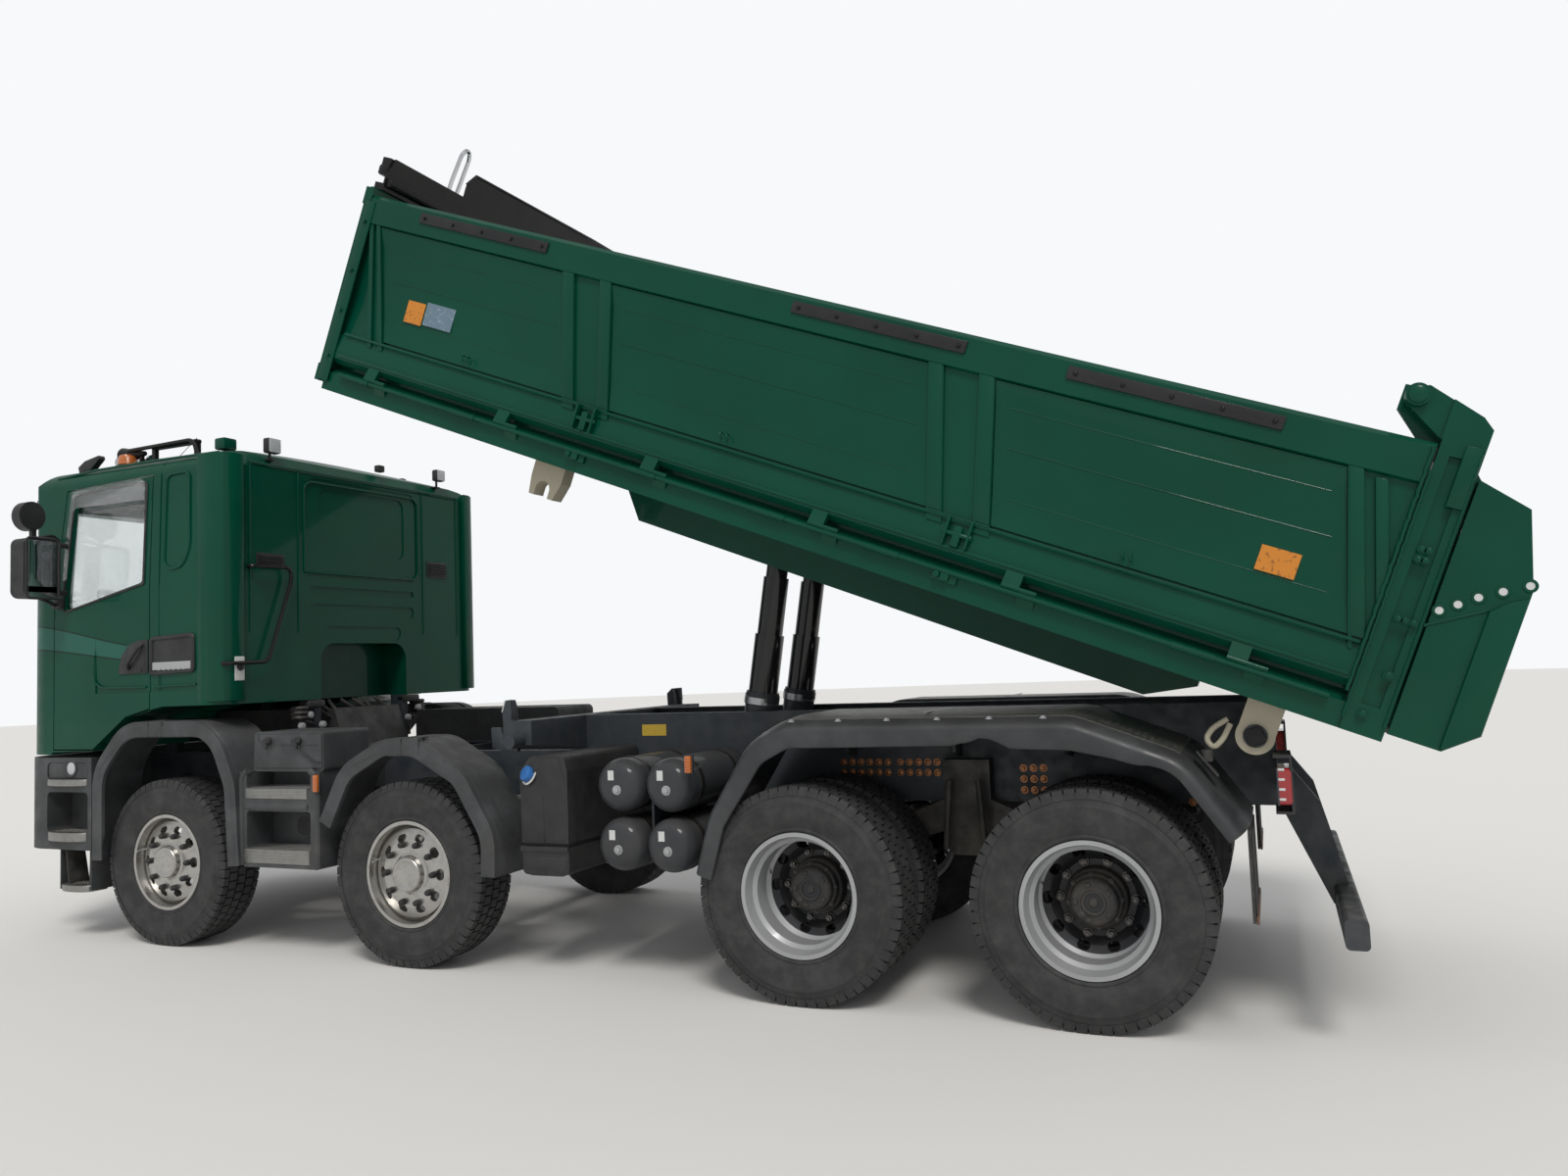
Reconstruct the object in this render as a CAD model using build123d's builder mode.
# Four-axle tipper truck, stored with its tipping body raised, in millimetres.
# Sizes below are measured from the third axle: x forward, y to the left, z up from the ground.
from build123d import *
from math import atan, cos, hypot, radians, sin
import os

os.makedirs("parts", exist_ok=True)

# Axles and wheels
AXLE_X = {1: 4345, 2: 2405, 3: 0, 4: -1350}
TYRE_R = 518
HUB_Z = TYRE_R
TYRE_HALF = 150
RIM_R = 284
RIM_FLANGE_R = RIM_R + 14
RIM_HALF = 127
FRONT_TYRE_Y = 1030
TWIN_Y = 900
TWIN_OFFSET = 175
KINGPIN_Y = 850
# steering limits of axles 1 and 2 in degrees, and the room that steered tyres are given
STEER_STOP = {1: 33, 2: 20.8}
STEER_STEPS = 6
STEER_CLEAR = 15
SPINDLE_R = 45
HUB_BORE_R = SPINDLE_R + 1
BEAD_CLEAR = 0.5

# Ladder frame and tipper subframe
FRAME_HALF = 450
RAIL_WALL = 8
RAIL_FLANGE = 70
RAIL_BOTTOM = 880
RAIL_TOP = 1150
FRAME_REAR = -2125
FRAME_FRONT = 5680
SUBFRAME_TOP = 1360
SUBFRAME_NOSE_X = 1660
SUBFRAME_NOSE_CUT = 220
CROSS_X = (FRAME_REAR + 5, -675, 1300, 2950, 5150)
CROSS_T = 60

SEAT_GAP = 0.3

# Air tanks: two columns of two
AIR_R = 138
AIR_FRONT_X = 1010
AIR_SPACE_X = 14
AIR_X = (AIR_FRONT_X, AIR_FRONT_X - 2 * AIR_R - AIR_SPACE_X)
AIR_TOP_Z = 1025
AIR_SPACE_Z = 29
AIR_LOW_Z = AIR_TOP_Z - 2 * AIR_R - AIR_SPACE_Z
AIR_END_Y = 1180
AIR_HANGER_OUT = 1050

# Tipping body: u runs along its floor from the rear hinge, w stands square to the floor
HINGE_X = -2054
HINGE_Z = 1249
HINGE_Y = 1050
REST_TILT = 21.32
BODY_HALF = 1275
BODY_FRONT_U = 5440
WALL_REAR_U = -262
FLOOR_W = 345
FLOOR_T = 9
RAIL_TOP_W = 1310
WALL_INNER = 1196
WALL_BOTTOM_W = 316
FLOOR_EDGE = 1188
SILL_W = 150
DROP_HINGE_Y = 1286
DROP_HINGE_W = 280
GATE_PIN_U = -138
GATE_PIN_W = RAIL_TOP_W + 160
GATE_PIN_R = 22
GATE_ARM_OUT = 1188
GATE_ARM_IN = 1158
HINGE_U = (40, 1010, 1980, 2950, 3920, 4890)
HINGE_EYE_R = 11
HINGE_EYE_LEN = 80
STUB_Y = 1060
STUB_HALF = 45
STUB_R = 38

# Tipping presses
PRESS_Y = 280
PRESS_U = 2730
PRESS_W = 280
PRESS_PIVOT_X = 641
PRESS_PIVOT_Z = 1000
PRESS_SLACK = 20.1
PRESS_REACH = 472
PRESS_BARREL_R = 95
PRESS_STEP_R = 11
PRESS_CLOSED = 815
PRESS_STAGES = 3

# Cab
CAB_HALF = 1220
CAB_REAR = 3800
CAB_FRONT = 5760
CAB_WALL = 50
CAB_FLOOR_Z = 1560
CAB_UNDER_Z = 1500
CAB_MOUNT_X = (3880, 5200)
CAB_MOUNT_Y = 420
CAB_ROOF_Z = 3190
CAB_EAVES_Z = 3060
DOOR_FRONT_X = 5330
DOOR_REAR_X = 4420
DOOR_GAP = 8
DOOR_TOP_Z = 2985
GLASS_T = 6
# door hinges: barrels of the door and, just above each, of the cab
DOOR_PIN_Y = 1216
DOOR_PIN_R = 4
DOOR_PIN_Z = (1420, 2050)
DOOR_BARREL_LEN = 60
CAB_BARREL_LEN = 40
BARREL_GAP = 1
BARREL_ROOM = 5

# Bumper
BUMPER_FRONT = 5800
BUMPER_LOW = 580
BUMPER_TOP = 1180

tilt = radians(REST_TILT)
U = Vector(cos(tilt), 0, sin(tilt))
W = Vector(-sin(tilt), 0, cos(tilt))
hinge = Vector(HINGE_X, 0, HINGE_Z)


def hub_plane(x):
    """Plane of a wheel's section: local x is the truck's y, local y is the radius."""
    return Plane(origin=(x, 0, HUB_Z), x_dir=(0, 1, 0), z_dir=(1, 0, 0))


def hub_axis(x):
    """Axis that a wheel turns on."""
    return Axis((x, 0, HUB_Z), (0, 1, 0))


def cut_steered_tyres(number):
    """Cuts the room that an axle's tyres sweep between their steering limits out of the open part."""
    for hand in (1, -1):
        pin = Location((AXLE_X[number], hand * KINGPIN_Y, HUB_Z))
        middle = Location((0, hand * (FRONT_TYRE_Y - KINGPIN_Y), 0), (90, 0, 0))
        for step in range(-STEER_STEPS, STEER_STEPS + 1):
            turned = Location((0, 0, 0), (0, 0, step * STEER_STOP[number] / STEER_STEPS))
            with Locations(pin * turned * middle):
                Cylinder(TYRE_R + STEER_CLEAR, 2 * (TYRE_HALF + STEER_CLEAR), mode=Mode.SUBTRACT)


def side(y):
    """Upright plane facing the truck's right, at the side position y."""
    return Plane.XZ.offset(-y)


def body_side(y):
    """Side plane of the raised tipping body: local x is u, local y is w."""
    face = Plane(origin=hinge, x_dir=U, z_dir=(0, -1, 0))
    return face.offset(-y)


def body_cross(u):
    """Cross plane of the raised tipping body at u: local x is y, local y is w."""
    return Plane(origin=hinge + U * u, x_dir=(0, 1, 0), z_dir=U)


def body_point(u, w):
    """Place of a point of the tipping body, as x and z in the truck's frame."""
    return (HINGE_X + u * cos(tilt) - w * sin(tilt), HINGE_Z + u * sin(tilt) + w * cos(tilt))


# The tailgate's outer face in u and w; its rearmost point ends the truck
GATE_FACE_U = -436
GATE_OUTER = (
    (GATE_FACE_U, 1209),
    (-629, 1148),
    (-725, 860),
    (-730, 287),
    (-623, 187),
    (GATE_FACE_U, 187),
)
# the panel's inner face, from the bottom up
GATE_INNER = (
    (GATE_FACE_U, 213),
    (-610, 213),
    (-700, 300),
    (-695, 855),
    (-607, 1123),
    (GATE_FACE_U, 1179),
)
REAR_END = min(body_point(u, w)[0] for u, w in GATE_OUTER)
MIDDLE_X = (BUMPER_FRONT + REAR_END) / 2


def save(block, name):
    """Write a finished sub-part with the origin on the ground under the truck's middle."""
    piece = block.part.moved(Location((-MIDDLE_X, 0, 0)))
    piece.label = name
    export_step(piece, f"parts/{name}.step")


# Ladder frame: two channel rails and the cross-members between their webs
with BuildPart() as frame_rails:
    with BuildSketch(Plane.YZ.offset(FRAME_REAR)):
        with BuildLine():
            Polyline(
                (FRAME_HALF, RAIL_BOTTOM),
                (FRAME_HALF, RAIL_TOP),
                (FRAME_HALF - RAIL_FLANGE, RAIL_TOP),
                (FRAME_HALF - RAIL_FLANGE, RAIL_TOP - RAIL_WALL),
                (FRAME_HALF - RAIL_WALL, RAIL_TOP - RAIL_WALL),
                (FRAME_HALF - RAIL_WALL, RAIL_BOTTOM + RAIL_WALL),
                (FRAME_HALF - RAIL_FLANGE, RAIL_BOTTOM + RAIL_WALL),
                (FRAME_HALF - RAIL_FLANGE, RAIL_BOTTOM),
                close=True,
            )
        make_face()
    extrude(amount=FRAME_FRONT - FRAME_REAR)
    mirror(about=Plane.XZ)
    for x in CROSS_X:
        with BuildSketch(Plane.YZ.offset(x)):
            with Locations((0, (RAIL_BOTTOM + RAIL_TOP) / 2)):
                Rectangle(2 * (FRAME_HALF - RAIL_WALL), RAIL_TOP - RAIL_BOTTOM - 2 * RAIL_WALL)
        extrude(amount=CROSS_T)
    # cab mounts standing on the rails
    for x in CAB_MOUNT_X:
        for y in (CAB_MOUNT_Y, -CAB_MOUNT_Y):
            with BuildSketch(Plane.XY.offset(RAIL_TOP)):
                with Locations((x, y)):
                    Rectangle(110, 2 * (FRAME_HALF - CAB_MOUNT_Y))
            extrude(amount=CAB_UNDER_Z - RAIL_TOP)
    # hanger plate between the air tanks' two columns
    with BuildSketch(side(AIR_HANGER_OUT)):
        with Locations(((AIR_X[0] + AIR_X[1]) / 2, 880)):
            Rectangle(AIR_X[0] - AIR_X[1] - 2 * AIR_R - 2 * SEAT_GAP, 480)
    extrude(amount=AIR_HANGER_OUT - FRAME_HALF)
save(frame_rails, "frame_rails")

# Tipper subframe on the rails, with the front tipping cross-beam and the rear pivot tube
BEAM_X = 1655
BEAM_LEN = 150
FRONT_PIVOT_U = 3784
BEAM_HALF = 1000
BEAM_LOW = 1165
PIVOT_TUBE_R = 60
PIVOT_BALL_R = 48
CUP_HALF = 55
GUSSET_X = 330
with BuildPart() as subframe:
    with BuildSketch(side(FRAME_HALF)):
        with BuildLine():
            Polyline(
                (FRAME_REAR, RAIL_TOP),
                (FRAME_REAR, SUBFRAME_TOP - 90),
                (FRAME_REAR + 120, SUBFRAME_TOP),
                (SUBFRAME_NOSE_X, SUBFRAME_TOP),
                (SUBFRAME_NOSE_X - SUBFRAME_NOSE_CUT, RAIL_TOP),
                close=True,
            )
        make_face()
    extrude(amount=RAIL_WALL)
    for z in (RAIL_TOP, SUBFRAME_TOP - RAIL_WALL):
        with BuildSketch(Plane.XY.offset(z)):
            with BuildLine():
                nose = SUBFRAME_NOSE_X - (SUBFRAME_NOSE_CUT if z == RAIL_TOP else 0)
                tail = FRAME_REAR + (0 if z == RAIL_TOP else 120)
                Polyline(
                    (tail, FRAME_HALF),
                    (nose - 12, FRAME_HALF),
                    (nose - 12, FRAME_HALF - RAIL_FLANGE),
                    (tail, FRAME_HALF - RAIL_FLANGE),
                    close=True,
                )
            make_face()
        extrude(amount=RAIL_WALL)
    with BuildSketch(Plane.YZ.offset(BEAM_X)):
        with BuildLine():
            Polyline(
                (0, BEAM_LOW),
                (FRAME_HALF, BEAM_LOW),
                (BEAM_HALF, BEAM_LOW + 60),
                (BEAM_HALF, SUBFRAME_TOP),
                (0, SUBFRAME_TOP),
                close=True,
            )
        make_face()
    extrude(amount=BEAM_LEN)
    with BuildSketch(side(FRAME_HALF)):
        with BuildLine():
            Polyline(
                (SUBFRAME_NOSE_X - 200, SUBFRAME_TOP),
                (BEAM_X, SUBFRAME_TOP),
                (BEAM_X, BEAM_LOW),
                (SUBFRAME_NOSE_X - 200, RAIL_TOP + 20),
                close=True,
            )
        make_face()
    extrude(amount=12)
    with BuildSketch(Plane.XZ.offset(-(BEAM_HALF - 90))):
        with BuildLine():
            Polyline(
                (BEAM_X + BEAM_LEN, BEAM_LOW + 70),
                (BEAM_X + BEAM_LEN + 50, BEAM_LOW + 70),
                (BEAM_X + BEAM_LEN + 60, 1440),
                (BEAM_X + BEAM_LEN + 20, 1475),
                (BEAM_X + BEAM_LEN + 5, 1430),
                (BEAM_X + BEAM_LEN, 1300),
                close=True,
            )
        make_face()
    extrude(amount=-60)
    with BuildSketch(side(STUB_Y + STUB_HALF)):
        with Locations((HINGE_X + FRONT_PIVOT_U, HINGE_Z)):
            Circle(STUB_R)
    extrude(amount=STUB_Y + STUB_HALF - BEAM_HALF)
    with BuildSketch(Plane.XZ.offset(-(HINGE_Y - CUP_HALF - 6))):
        with Locations((HINGE_X, HINGE_Z)):
            Circle(PIVOT_TUBE_R)
    extrude(amount=HINGE_Y - CUP_HALF - 6)
    with BuildSketch(Plane.XZ.offset(-(HINGE_Y + CUP_HALF + 12))):
        with Locations((HINGE_X, HINGE_Z)):
            Circle(PIVOT_BALL_R)
    extrude(amount=2 * CUP_HALF + 24)
    mirror(about=Plane.XZ)
    # the cradle that carries the presses' trunnions
    for x in (PRESS_PIVOT_X - GUSSET_X, PRESS_PIVOT_X + GUSSET_X - 20):
        with BuildSketch(Plane.YZ.offset(x)):
            with Locations((0, RAIL_TOP + 60)):
                Rectangle(2 * (FRAME_HALF - RAIL_WALL), 104)
        extrude(amount=20)
save(subframe, "subframe")

# Engine and gearbox as one plain block between the rails
with BuildPart() as engine:
    with BuildSketch(side(310)):
        with BuildLine():
            Polyline(
                (2980 + CROSS_T, 760),
                (2980 + CROSS_T, 1120),
                (3700, 1180),
                (3790, 1430),
                (4900, 1430),
                (4980, 1200),
                (4980, 760),
                (3800, 700),
                close=True,
            )
        make_face()
    extrude(amount=620)
    for x in (3300, 4500):
        with BuildSketch(side(FRAME_HALF - RAIL_WALL)):
            with Locations((x, 950)):
                Rectangle(110, 100)
        extrude(amount=2 * (FRAME_HALF - RAIL_WALL))
save(engine, "engine")

# Front bumper with its corner steps
TOW_PIN_R = 20
TOW_PIN_X = BUMPER_FRONT - 60
TOW_MOUTH_Z = 790
TOW_MOUTH_H = 76
TOW_MOUTH_W = 130
TOW_DEPTH = 105
TOW_EAR_TOP = 878
TOW_PIN_CLEAR = 1
HAND_SPACE = 100
LAMP_Y = 800
LAMP_Z = 1090
LAMP_W = 300
LAMP_H = 130
LAMP_ROUND = 30
# foot wells above the corner steps, and the lower step that hangs on straps
WELL_X = 5195
WELL_LEN = 400
WELL_DEPTH = 170
HUNG_STEP_Z = 320
HUNG_STEP_IN = 1040
HUNG_STEP_X = (4985, 5290)
STRAP_T = 8
with BuildPart() as front_bumper:
    with BuildSketch(Plane.XY.offset(BUMPER_LOW)):
        with BuildLine():
            Polyline((4960, 0), (4960, CAB_HALF), (5430, CAB_HALF))
            ThreePointArc((5430, CAB_HALF), (5640, 1140), (5730, 940))
            ThreePointArc((5730, 940), (BUMPER_FRONT - 18, 480), (BUMPER_FRONT, 0))
            Line((BUMPER_FRONT, 0), (4960, 0))
        make_face()
        mirror(about=Plane.XZ)
    extrude(amount=BUMPER_TOP - BUMPER_LOW)
    # hollow behind the skin
    with BuildSketch(Plane.XY.offset(BUMPER_LOW)):
        with BuildLine():
            Polyline((4900, -760), (4900, 760), (5250, 980), (5560, 930), (5680, 600))
            Polyline((5680, 600), (5680, -600), (5560, -930), (5250, -980), (4900, -760))
        make_face()
    extrude(amount=BUMPER_TOP - BUMPER_LOW, mode=Mode.SUBTRACT)
    # foot wells above each corner step
    for low, high in ((690, 955), (1035, 1150)):
        for y, depth in ((CAB_HALF + 1, WELL_DEPTH), (-CAB_HALF - 1, -WELL_DEPTH)):
            with BuildSketch(side(y)):
                with Locations((WELL_X, (low + high) / 2)):
                    RectangleRounded(WELL_LEN, high - low, 35)
            extrude(amount=depth, mode=Mode.SUBTRACT)
    # lowest step, hung on two wide straps at each side
    for y in (CAB_HALF - 20, -HUNG_STEP_IN):
        for x in (HUNG_STEP_X[0], HUNG_STEP_X[1] - STRAP_T):
            with BuildSketch(side(y)):
                with Locations((x + STRAP_T / 2, (HUNG_STEP_Z + BUMPER_LOW) / 2)):
                    Rectangle(STRAP_T, BUMPER_LOW - HUNG_STEP_Z)
            extrude(amount=CAB_HALF - 20 - HUNG_STEP_IN)
        with BuildSketch(side(y)):
            with Locations(((HUNG_STEP_X[0] + HUNG_STEP_X[1]) / 2, HUNG_STEP_Z + 12)):
                Rectangle(HUNG_STEP_X[1] - HUNG_STEP_X[0], 24)
        extrude(amount=CAB_HALF - 20 - HUNG_STEP_IN)
    # radiator air intake
    with BuildSketch(Plane.YZ.offset(BUMPER_FRONT + 10)):
        with Locations((0, 800)):
            RectangleRounded(1100, 180, 60)
    extrude(amount=-30, mode=Mode.SUBTRACT)
    # towing jaw: a mouth, and the pin's bore with a hand space above it
    with BuildSketch(Plane.XY.offset(TOW_MOUTH_Z - TOW_MOUTH_H / 2)):
        with Locations((BUMPER_FRONT, 0)):
            Rectangle(2 * TOW_DEPTH, TOW_MOUTH_W)
    extrude(amount=TOW_MOUTH_H, mode=Mode.SUBTRACT)
    with BuildSketch(Plane.XY.offset(TOW_EAR_TOP)):
        with Locations((BUMPER_FRONT, 0)):
            Rectangle(2 * TOW_DEPTH, TOW_MOUTH_W)
    extrude(amount=HAND_SPACE, mode=Mode.SUBTRACT)
    with BuildSketch(Plane.XY.offset(BUMPER_LOW)):
        with Locations((TOW_PIN_X, 0)):
            Circle(TOW_PIN_R + TOW_PIN_CLEAR)
    extrude(amount=TOW_EAR_TOP - BUMPER_LOW, mode=Mode.SUBTRACT)
    # pockets of the headlamps
    with BuildSketch(Plane.YZ.offset(5500)):
        with Locations((LAMP_Y, LAMP_Z), (-LAMP_Y, LAMP_Z)):
            RectangleRounded(LAMP_W + 2 * SEAT_GAP, LAMP_H + 2 * SEAT_GAP, LAMP_ROUND)
    extrude(amount=400, mode=Mode.SUBTRACT)
save(front_bumper, "front_bumper")

# Headlamps at the bumper's corners and the tail lamps on their brackets
TAIL_PLATE_T = 6
with BuildPart() as lamps:
    with BuildSketch(Plane.YZ.offset(5700)):
        with Locations((LAMP_Y, LAMP_Z)):
            RectangleRounded(LAMP_W, LAMP_H, LAMP_ROUND)
    extrude(amount=94)
    with BuildSketch(Plane.YZ.offset(FRAME_REAR - TAIL_PLATE_T)):
        with Locations((1080, 1050)):
            RectangleRounded(230, 150, 15)
    extrude(amount=-50)
    mirror(about=Plane.XZ)
save(lamps, "lamps")

# Steered axle beams and the driven axle casings
BEAM_EYE_R = 55
BEAM_DROP = 60
with BuildPart() as axles:
    for number in (1, 2):
        x = AXLE_X[number]
        with BuildSketch(Plane.YZ.offset(x - 55)):
            with BuildLine():
                Polyline(
                    (-(KINGPIN_Y - 50), HUB_Z + 40),
                    (-(KINGPIN_Y - 190), HUB_Z + 30),
                    (-(KINGPIN_Y - 300), HUB_Z - BEAM_DROP),
                    (KINGPIN_Y - 300, HUB_Z - BEAM_DROP),
                    (KINGPIN_Y - 190, HUB_Z + 30),
                    (KINGPIN_Y - 50, HUB_Z + 40),
                    (KINGPIN_Y - 50, HUB_Z - 50),
                    (KINGPIN_Y - 190, HUB_Z - 60),
                    (KINGPIN_Y - 300, HUB_Z - 150),
                    (-(KINGPIN_Y - 300), HUB_Z - 150),
                    (-(KINGPIN_Y - 190), HUB_Z - 60),
                    (-(KINGPIN_Y - 50), HUB_Z - 50),
                    close=True,
                )
            make_face()
        extrude(amount=110)
        with BuildSketch(Plane.XY.offset(HUB_Z - 50)):
            with Locations((x, KINGPIN_Y), (x, -KINGPIN_Y)):
                Circle(BEAM_EYE_R)
        extrude(amount=90)
        with BuildSketch(Plane.XY.offset(HUB_Z - 60)):
            with Locations((x, KINGPIN_Y), (x, -KINGPIN_Y)):
                Circle(26)
        extrude(amount=120, mode=Mode.SUBTRACT)
    for number in (3, 4):
        x = AXLE_X[number]
        with BuildSketch(hub_plane(x)):
            with BuildLine():
                Polyline(
                    (0, 0),
                    (0, 205),
                    (110, 195),
                    (190, 120),
                    (300, 85),
                    (560, 85),
                    (570, SPINDLE_R + 10),
                    (985, SPINDLE_R + 10),
                    (985, 0),
                    close=True,
                )
            make_face()
        revolve(axis=hub_axis(x))
        with BuildSketch(hub_plane(x)):
            with BuildLine():
                Polyline(
                    (0, 0),
                    (0, 205),
                    (-110, 195),
                    (-190, 120),
                    (-300, 85),
                    (-560, 85),
                    (-570, SPINDLE_R + 10),
                    (-985, SPINDLE_R + 10),
                    (-985, 0),
                    close=True,
                )
            make_face()
        revolve(axis=hub_axis(x))
save(axles, "axles")

# Leaf springs: one pack at each front axle end and a trunnion pack across the rear pair
SPRING_Y = FRAME_HALF
SPRING_W = 90
SPRING_HALF = 780
with BuildPart() as leaf_springs:
    for number in (1, 2):
        x = AXLE_X[number]
        with BuildSketch(side(SPRING_Y)):
            with BuildLine():
                Polyline(
                    (x - SPRING_HALF, 930),
                    (x - SPRING_HALF, 870),
                    (x - 700, 740),
                    (x - 120, 560),
                    (x - 70, HUB_Z - BEAM_DROP),
                    (x + 70, HUB_Z - BEAM_DROP),
                    (x + 120, 560),
                    (x + 700, 740),
                    (x + SPRING_HALF, 870),
                    (x + SPRING_HALF, 930),
                    (x + SPRING_HALF - 80, 930),
                    (x + 660, 790),
                    (x + 120, HUB_Z + 150),
                    (x - 120, HUB_Z + 150),
                    (x - 660, 790),
                    (x - SPRING_HALF + 80, 930),
                    close=True,
                )
            make_face()
        extrude(amount=-(SPRING_W))
    mid = (AXLE_X[3] + AXLE_X[4]) / 2
    with BuildSketch(side(SPRING_Y)):
        with BuildLine():
            Polyline(
                (mid - 740, HUB_Z + 85 + SEAT_GAP),
                (mid - 740, HUB_Z + 130),
                (mid - 120, 900),
                (mid - 120, 1100),
                (mid + 120, 1100),
                (mid + 120, 900),
                (mid + 740, HUB_Z + 130),
                (mid + 740, HUB_Z + 85 + SEAT_GAP),
                (mid + 600, HUB_Z + 85 + SEAT_GAP),
                (mid + 120, 740),
                (mid + 90, 620),
                (mid - 90, 620),
                (mid - 120, 740),
                (mid - 600, HUB_Z + 85 + SEAT_GAP),
                close=True,
            )
        make_face()
    extrude(amount=-(SPRING_W))
    mirror(about=Plane.XZ)
save(leaf_springs, "leaf_springs")

# Mudguards of the two steered axles: arched sheets, each with a broad band along its outer edge
FENDER_IN = 910
FENDER_OUT = 1250
FENDER_T = 14
BAND_T = 22
BAND_W = 90
# outer outlines, x and z from the hub, from the front round to the rear
FENDER_1 = ((565, 10), (565, 590), (280, 890), (-535, 890), (-705, 510), (-738, 20))
FENDER_2 = ((560, 300), (400, 610), (90, 768), (-150, 768), (-470, 590), (-680, 250), (-675, 25))
with BuildPart() as front_fenders:
    # columns: axle, outline, corner radius, brackets' x from the hub
    for number, outline, bend, arms in (
        (1, FENDER_1, 330, (60, -280)),
        (2, FENDER_2, 300, (-5, -60)),
    ):
        x = AXLE_X[number]
        outer = [(x + a, HUB_Z + b) for a, b in outline]
        for width, depth in ((FENDER_OUT - FENDER_IN, FENDER_T), (BAND_T, BAND_W)):
            with BuildSketch(side(FENDER_OUT)):
                with BuildLine():
                    line = FilletPolyline(*outer, radius=bend)
                    offset(line, amount=depth, side=Side.LEFT)
                make_face()
            extrude(amount=width)
        under = max(z for _, z in outer) - FENDER_T
        for arm in arms:
            with BuildSketch(Plane.YZ.offset(x + arm)):
                with BuildLine():
                    Polyline(
                        (FRAME_HALF, 980),
                        (FRAME_HALF, 1090),
                        (FENDER_IN - 10, under),
                        (1200, under),
                        (1200, under - 22),
                        (FENDER_IN + 30, under - 26),
                        close=True,
                    )
                make_face()
            extrude(amount=24)
    mirror(about=Plane.XZ)
    cut_steered_tyres(1)
    cut_steered_tyres(2)
save(front_fenders, "front_fenders")

# Long mudguards over the rear axle pair, with a deep skirt along the outer edge
REAR_FENDER_IN = 560
REAR_FENDER_TOP = 1365
REAR_FENDER_END_X = -2015
REAR_FENDER_END_Z = 883
REAR_FENDER_BEND = 290
SKIRT_T = 14
SKIRT_W = 120
END_FACE_DROP = 8.1
STAY_TOP_Z = 1200
with BuildPart() as rear_fenders:
    for width, depth in ((FENDER_OUT - REAR_FENDER_IN, FENDER_T), (SKIRT_T, SKIRT_W)):
        with BuildSketch(side(FENDER_OUT)):
            with BuildLine():
                line = FilletPolyline(
                    (560, 620),
                    (480, 900),
                    (250, 1258),
                    (40, REAR_FENDER_TOP),
                    (-1330, REAR_FENDER_TOP),
                    (-1800, 1190),
                    (REAR_FENDER_END_X, REAR_FENDER_END_Z),
                    radius=REAR_FENDER_BEND,
                )
                offset(line, amount=depth, side=Side.LEFT)
            make_face()
        extrude(amount=width)
    # stays that pass under the lowered body's long bearers
    for x in (-60, -640, -1200):
        with BuildSketch(Plane.YZ.offset(x)):
            with BuildLine():
                Polyline(
                    (FRAME_HALF, STAY_TOP_Z - 90),
                    (FRAME_HALF, STAY_TOP_Z),
                    (REAR_FENDER_IN, STAY_TOP_Z),
                    (REAR_FENDER_IN, REAR_FENDER_TOP - FENDER_T),
                    (1150, REAR_FENDER_TOP - FENDER_T),
                    (1150, REAR_FENDER_TOP - 40),
                    (REAR_FENDER_IN + 50, REAR_FENDER_TOP - 55),
                    (REAR_FENDER_IN + 30, STAY_TOP_Z - 60),
                    close=True,
                )
            make_face()
        extrude(amount=24)
    mirror(about=Plane.XZ)
save(rear_fenders, "rear_fenders")

# Step box between the steered axles, with the tool box on its bracket above
STEP_REAR_X = 2993
STEP_FRONT_X = 3632
STEP_LOW = 530
STEP_TOP = 1095
STEP_IN = 800
WELL_IN = 200
TOOLBOX_REAR_X = 2977
TOOLBOX_FRONT_X = 3534
TOOLBOX_TOP = 1330
with BuildPart() as step_box:
    with BuildSketch(side(CAB_HALF)):
        with BuildLine():
            Polyline(
                (STEP_REAR_X, STEP_LOW + 10),
                (STEP_REAR_X, STEP_TOP),
                (STEP_FRONT_X, STEP_TOP),
                (STEP_FRONT_X - 34, STEP_LOW),
                (STEP_REAR_X + 20, STEP_LOW),
                close=True,
            )
        make_face()
    extrude(amount=CAB_HALF - STEP_IN)
    # two open foot wells above their treads, the upper one open on top
    for low, high in ((632, 863), (990, STEP_TOP + 60)):
        with BuildSketch(side(CAB_HALF + 1)):
            with Locations(((STEP_REAR_X + STEP_FRONT_X) / 2 + 5, (low + high) / 2)):
                RectangleRounded(510, high - low, 25)
        extrude(amount=WELL_IN, mode=Mode.SUBTRACT)
    # tool box standing on the step box
    with BuildSketch(side(CAB_HALF - 20)):
        with BuildLine():
            FilletPolyline(
                (TOOLBOX_REAR_X, STEP_TOP),
                (TOOLBOX_REAR_X, TOOLBOX_TOP),
                (TOOLBOX_FRONT_X - 8, TOOLBOX_TOP),
                (TOOLBOX_FRONT_X, STEP_TOP),
                radius=22,
                close=True,
            )
        make_face()
    extrude(amount=360)
    # bracket out from the frame rail
    with BuildSketch(side(STEP_IN)):
        with Locations(((STEP_REAR_X + STEP_FRONT_X) / 2, 1010)):
            Rectangle(200, 160)
    extrude(amount=STEP_IN - FRAME_HALF)
    cut_steered_tyres(2)
save(step_box, "step_box")

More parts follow.
